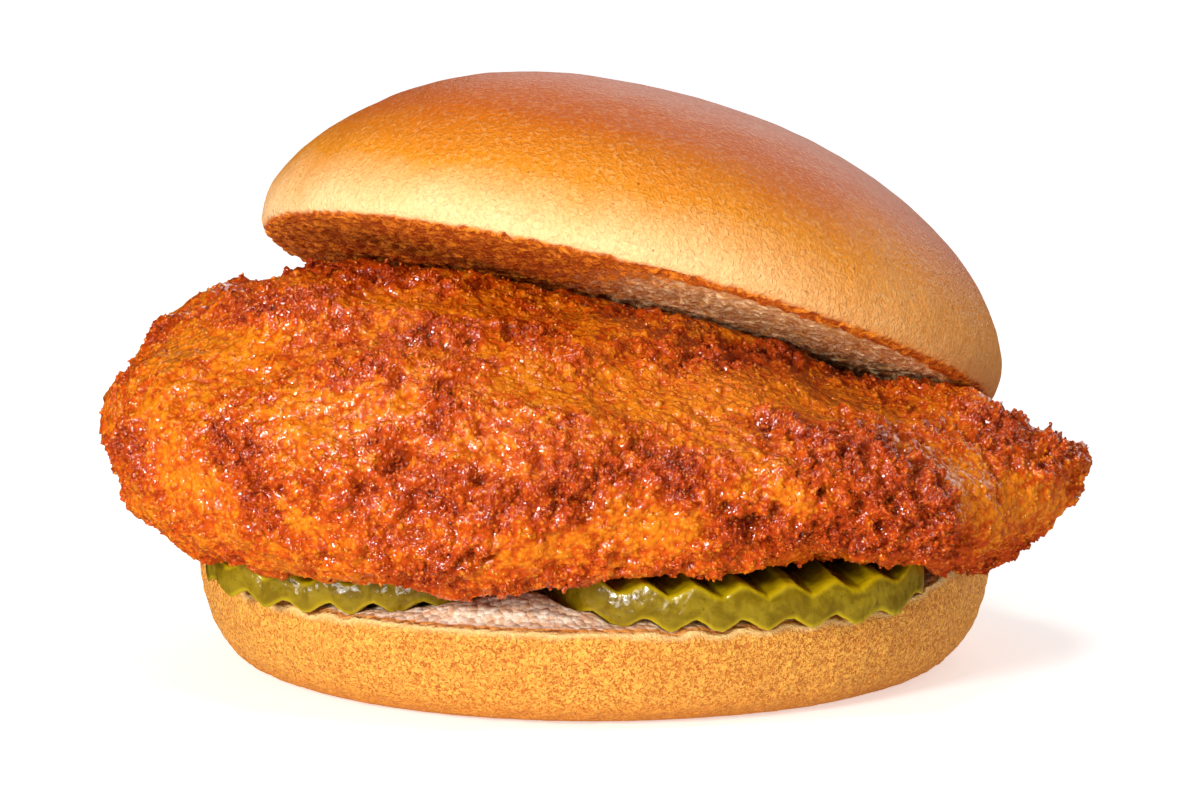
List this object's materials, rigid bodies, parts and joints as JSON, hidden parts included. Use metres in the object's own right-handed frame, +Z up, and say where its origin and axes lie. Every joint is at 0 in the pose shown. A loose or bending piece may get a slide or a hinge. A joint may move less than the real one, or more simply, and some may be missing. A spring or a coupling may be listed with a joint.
{
  "type": "chicken burger",
  "caption": "Fried chicken burger: a long breaded fillet on crinkle-cut pickle slices between the heel and the tilted domed crown of a soft round bun.",
  "frame": {"origin": "centre of the flat underside of the bun's heel, where the burger rests", "axes": "+Z up, +X towards the thin end of the fillet, -Y towards the open front where the crown is lifted"},
  "size_m": [0.127, 0.1115, 0.0757],
  "materials": {
    "heel_crust": "soft porous golden crust",
    "crown_crust": "smooth golden crust with a satin sheen",
    "fried_breading": "craggy fried breading with oily glints",
    "pickle": "wet and slightly translucent"
  },
  "bodies": {
    "root": {"bun_heel": "heel_crust", "pickle_left": "pickle", "pickle_right": "pickle", "chicken_fillet": "fried_breading", "bun_crown": "crown_crust"}
  },
  "joints": []
}
